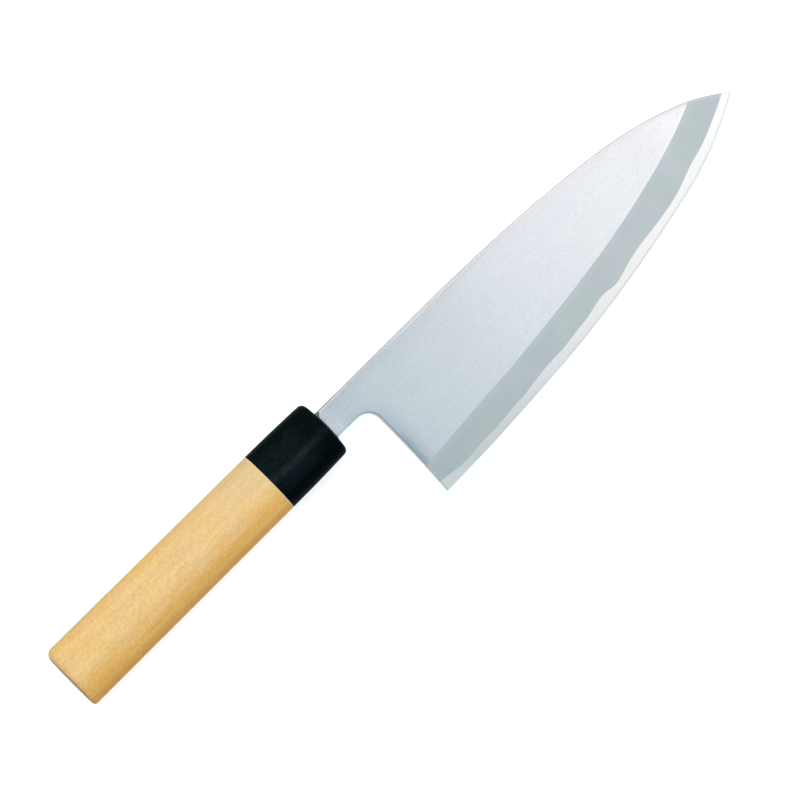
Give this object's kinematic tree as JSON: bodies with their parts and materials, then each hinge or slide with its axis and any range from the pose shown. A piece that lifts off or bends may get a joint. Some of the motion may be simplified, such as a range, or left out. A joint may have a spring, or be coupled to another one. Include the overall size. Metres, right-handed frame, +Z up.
{
  "type": "deba knife",
  "caption": "Single-bevel deba kitchen knife: soft-iron body with a hard-steel back, ground bevel, and a D-section wooden handle with a black ferrule.",
  "frame": {"origin": "centre of the knife's box on the table it lies on, bevelled side up", "axes": "+X from butt to tip along the handle, +Y towards the spine, +Z up from the table"},
  "size_m": [0.3246, 0.061, 0.0229],
  "materials": {
    "soft_iron": "satin flat and hazy bevel",
    "hard_steel": "fine ground, brighter than the iron",
    "resin": "dark resin",
    "ferrule_black": "black, soft gloss",
    "magnolia_wood": "bare sanded magnolia"
  },
  "bodies": {
    "root": {"blade_body": "soft_iron", "hard_steel_layer": "hard_steel", "tang_seal": "resin", "ferrule": "ferrule_black", "handle": "magnolia_wood"}
  },
  "joints": []
}
